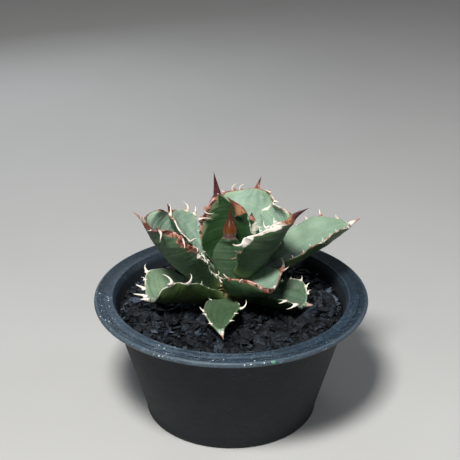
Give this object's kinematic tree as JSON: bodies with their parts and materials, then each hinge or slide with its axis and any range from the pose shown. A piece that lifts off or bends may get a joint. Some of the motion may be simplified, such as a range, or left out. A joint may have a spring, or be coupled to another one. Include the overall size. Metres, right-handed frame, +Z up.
{
  "type": "potted agave",
  "caption": "Small spiny rosette plant with thick cupped grey-green leaves, white-toothed horny margins and brown end spines, in black gravel in a low round dark pot.",
  "frame": {"origin": "the middle of the pot's flat base, on the surface it stands on", "axes": "X to the right, Y away from the front and Z up, seen from the front of the plant"},
  "size_m": [0.15, 0.15, 0.1342],
  "materials": {
    "pot": "matt dark slate plastic with fine turned scratches and a little lime dust",
    "soil": "damp fibrous growing mix",
    "gravel": "broken black lava chips",
    "stem": "dry pale leaf bases",
    "leaf": "waxy grey-green flesh with pale to red-brown horny margins, teeth and spines"
  },
  "bodies": {
    "root": {"pot": "pot", "soil": "soil", "gravel": "gravel", "stem": "stem", "leaf_left_low": "leaf", "leaf_front_low": "leaf", "leaf_right_low": "leaf", "leaf_front_right": "leaf", "leaf_left_high": "leaf", "leaf_left_inner": "leaf", "leaf_right_high": "leaf", "leaf_right_inner": "leaf", "leaf_back_high": "leaf", "leaf_heart_left": "leaf", "leaf_heart_front": "leaf", "leaf_heart_right": "leaf", "leaf_heart_side": "leaf", "leaf_heart_back": "leaf", "leaf_back_left_low": "leaf", "leaf_back_low": "leaf", "leaf_back_right_low": "leaf", "leaf_back_left_mid": "leaf", "leaf_back_right_mid": "leaf"}
  },
  "joints": []
}
